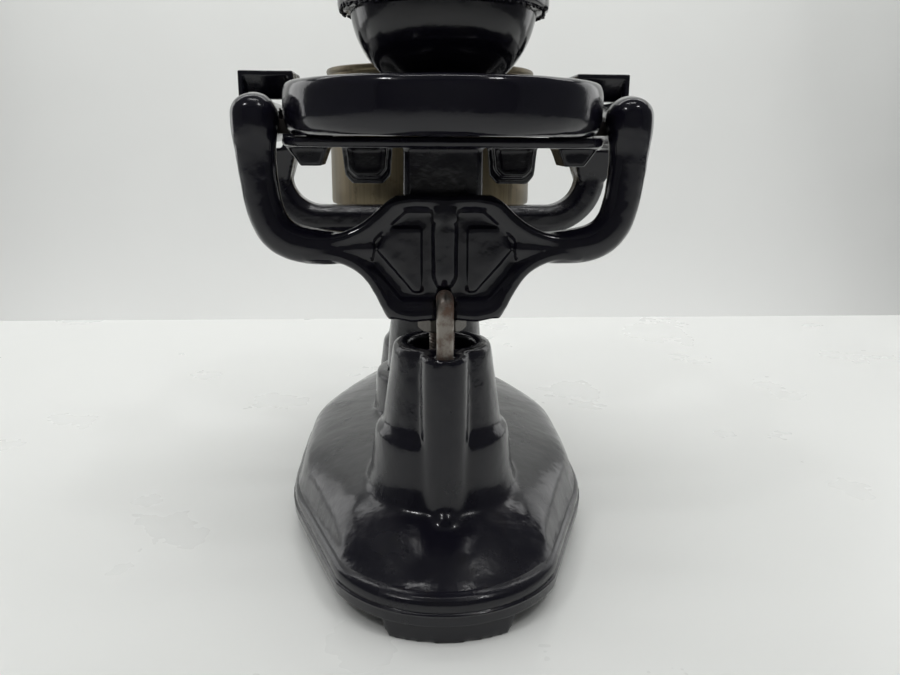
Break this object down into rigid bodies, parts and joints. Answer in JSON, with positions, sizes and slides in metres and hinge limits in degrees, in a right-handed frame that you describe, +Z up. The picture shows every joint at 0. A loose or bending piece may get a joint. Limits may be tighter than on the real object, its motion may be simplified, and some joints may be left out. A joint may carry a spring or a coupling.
{
  "type": "counter balance scale",
  "caption": "Cast-iron counter balance scale: hollow base, forked pillar, equal-arm beam, goods dish with bowl, and a brass bucket on the far carrier.",
  "frame": {"origin": "centre of the footprint on the surface the scale stands on", "axes": "+Z up, +Y along the beam from the goods dish (near end) to the brass bucket (far end), +X to the right seen from the near end"},
  "size_m": [0.2252, 0.334, 0.275],
  "materials": {
    "enamelled_iron": "thick black gloss enamel over cast iron, with runs and soft edges",
    "worn_steel": "dull grey steel, brown rust film on the hook",
    "turned_brass": "satin, lathe-turned, slightly tarnished"
  },
  "bodies": {
    "base": {"base_casting": "enamelled_iron", "bearing_hood_left": "enamelled_iron", "bearing_hood_right": "enamelled_iron", "centre_fork": "enamelled_iron", "fork_bolt": "worn_steel", "fulcrum_bearing_left_inner": "worn_steel", "fulcrum_bearing_left_outer": "worn_steel", "fulcrum_bearing_right_inner": "worn_steel", "fulcrum_bearing_right_outer": "worn_steel", "hood_screw_left": "worn_steel", "hood_screw_right": "worn_steel", "stay_pivot_pin": "worn_steel", "stop_hook": "worn_steel"},
    "beam": {"beam_casting": "enamelled_iron", "far_knife_left": "worn_steel", "far_knife_right": "worn_steel", "fulcrum_knife_left": "worn_steel", "fulcrum_knife_right": "worn_steel", "near_knife_left": "worn_steel", "near_knife_right": "worn_steel"},
    "near_carrier": {"near_bearing_left": "worn_steel", "near_bearing_right": "worn_steel", "near_carrier": "enamelled_iron", "near_leg_clevis": "worn_steel", "near_leg_nut": "worn_steel", "near_leg_rod": "worn_steel"},
    "dish": {"goods_dish": "enamelled_iron"},
    "bowl": {"goods_bowl": "enamelled_iron"},
    "far_carrier": {"far_balance_weight": "enamelled_iron", "far_bearing_left": "worn_steel", "far_bearing_right": "worn_steel", "far_carrier": "enamelled_iron", "far_leg_clevis": "worn_steel", "far_leg_nut": "worn_steel", "far_leg_rod": "worn_steel"},
    "bucket": {"brass_bucket": "turned_brass"},
    "stay": {"check_stay": "worn_steel", "stay_pin_far": "worn_steel", "stay_pin_near": "worn_steel"}
  },
  "joints": [
    {"name": "beam_tilt", "type": "hinge", "parent": "base", "child": "beam", "pos_m": [0, 0, 0.2195], "axis": [1, 0, 0], "range_deg": [0, 5]},
    {"name": "near_carrier_level", "type": "hinge", "parent": "beam", "child": "near_carrier", "pos_m": [0, -0.088, 0.2195], "axis": [1, 0, 0], "range_deg": [-5, 0]},
    {"name": "far_carrier_level", "type": "hinge", "parent": "beam", "child": "far_carrier", "pos_m": [0, 0.088, 0.2195], "axis": [1, 0, 0], "range_deg": [-5, 0]},
    {"name": "stay_tilt", "type": "hinge", "parent": "base", "child": "stay", "pos_m": [0, 0, 0.028], "axis": [1, 0, 0], "range_deg": [0, 5]},
    {"name": "dish_lift", "type": "slide", "parent": "near_carrier", "child": "dish", "axis": [0, 0, 1], "range_m": [0, 0.12]},
    {"name": "bowl_lift", "type": "slide", "parent": "dish", "child": "bowl", "axis": [0, 0, 1], "range_m": [0, 0.12]},
    {"name": "bucket_lift", "type": "slide", "parent": "far_carrier", "child": "bucket", "axis": [0, 0, 1], "range_m": [0, 0.12]}
  ],
  "couplings": [
    {"joint": "near_carrier_level", "follows": "beam_tilt", "ratio": -1},
    {"joint": "far_carrier_level", "follows": "beam_tilt", "ratio": -1},
    {"joint": "stay_tilt", "follows": "beam_tilt", "ratio": 1}
  ]
}
